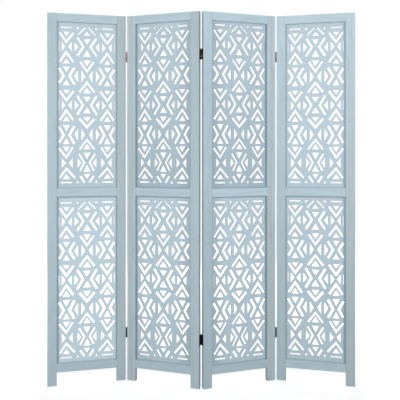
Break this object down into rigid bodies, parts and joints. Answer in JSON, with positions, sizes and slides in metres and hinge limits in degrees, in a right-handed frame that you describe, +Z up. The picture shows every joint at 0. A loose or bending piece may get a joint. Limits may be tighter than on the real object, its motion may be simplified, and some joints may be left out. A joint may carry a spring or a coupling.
{
  "type": "folding screen",
  "caption": "Folding room screen of hinged wooden frames with pierced geometric fretwork boards; stands in a zigzag and folds flat.",
  "frame": {"origin": "on the floor, at the middle of the standing screen's plan box", "axes": "+Z up, -Y towards the side that the picture shows (front), +X to the right seen from the front"},
  "size_m": [1.4062, 0.1384, 1.7],
  "materials": {
    "frame_paint": "washed pale blue-grey paint over visible grain, matt",
    "fretwork_paint": "pale blue-grey paint, matt and slightly mottled",
    "beech": "plain turned dowel",
    "hinge_metal": "antique copper, dark with rubbed edges",
    "hinge_screw_metal": "antique copper screws"
  },
  "bodies": {
    "panel_1": {"left_lower_hinge_leaf_1": "hinge_metal", "left_lower_hinge_pin": "hinge_metal", "left_upper_hinge_leaf_1": "hinge_metal", "left_upper_hinge_pin": "hinge_metal", "panel_1_bottom_rail": "frame_paint", "panel_1_dowels": "beech", "panel_1_hinge_screws": "hinge_screw_metal", "panel_1_left_stile": "frame_paint", "panel_1_lower_fretwork": "fretwork_paint", "panel_1_mid_rail": "frame_paint", "panel_1_right_stile": "frame_paint", "panel_1_top_rail": "frame_paint", "panel_1_upper_fretwork": "fretwork_paint"},
    "panel_2": {"centre_lower_hinge_leaf_2": "hinge_metal", "centre_lower_hinge_pin": "hinge_metal", "centre_upper_hinge_leaf_2": "hinge_metal", "centre_upper_hinge_pin": "hinge_metal", "left_lower_hinge_leaf_2": "hinge_metal", "left_upper_hinge_leaf_2": "hinge_metal", "panel_2_bottom_rail": "frame_paint", "panel_2_dowels": "beech", "panel_2_hinge_screws": "hinge_screw_metal", "panel_2_left_stile": "frame_paint", "panel_2_lower_fretwork": "fretwork_paint", "panel_2_mid_rail": "frame_paint", "panel_2_right_stile": "frame_paint", "panel_2_top_rail": "frame_paint", "panel_2_upper_fretwork": "fretwork_paint"},
    "panel_3": {"centre_lower_hinge_leaf_3": "hinge_metal", "centre_upper_hinge_leaf_3": "hinge_metal", "panel_3_bottom_rail": "frame_paint", "panel_3_dowels": "beech", "panel_3_hinge_screws": "hinge_screw_metal", "panel_3_left_stile": "frame_paint", "panel_3_lower_fretwork": "fretwork_paint", "panel_3_mid_rail": "frame_paint", "panel_3_right_stile": "frame_paint", "panel_3_top_rail": "frame_paint", "panel_3_upper_fretwork": "fretwork_paint", "right_lower_hinge_leaf_3": "hinge_metal", "right_lower_hinge_pin": "hinge_metal", "right_upper_hinge_leaf_3": "hinge_metal", "right_upper_hinge_pin": "hinge_metal"},
    "panel_4": {"panel_4_bottom_rail": "frame_paint", "panel_4_dowels": "beech", "panel_4_hinge_screws": "hinge_screw_metal", "panel_4_left_stile": "frame_paint", "panel_4_lower_fretwork": "fretwork_paint", "panel_4_mid_rail": "frame_paint", "panel_4_right_stile": "frame_paint", "panel_4_top_rail": "frame_paint", "panel_4_upper_fretwork": "fretwork_paint", "right_lower_hinge_leaf_4": "hinge_metal", "right_upper_hinge_leaf_4": "hinge_metal"}
  },
  "joints": [
    {"name": "left_fold", "type": "hinge", "parent": "panel_2", "child": "panel_1", "pos_m": [-0.34942, 0.04912, 0.866], "axis": [0, 0, 1], "range_deg": [-33.7, 146.3]},
    {"name": "centre_fold", "type": "hinge", "parent": "panel_2", "child": "panel_3", "pos_m": [0, -0.04997, 0.866], "axis": [0, 0, 1], "range_deg": [-38.8, 141.2]},
    {"name": "right_fold", "type": "hinge", "parent": "panel_3", "child": "panel_4", "pos_m": [0.34942, 0.04912, 0.866], "axis": [0, 0, -1], "range_deg": [-33.7, 146.3]}
  ]
}
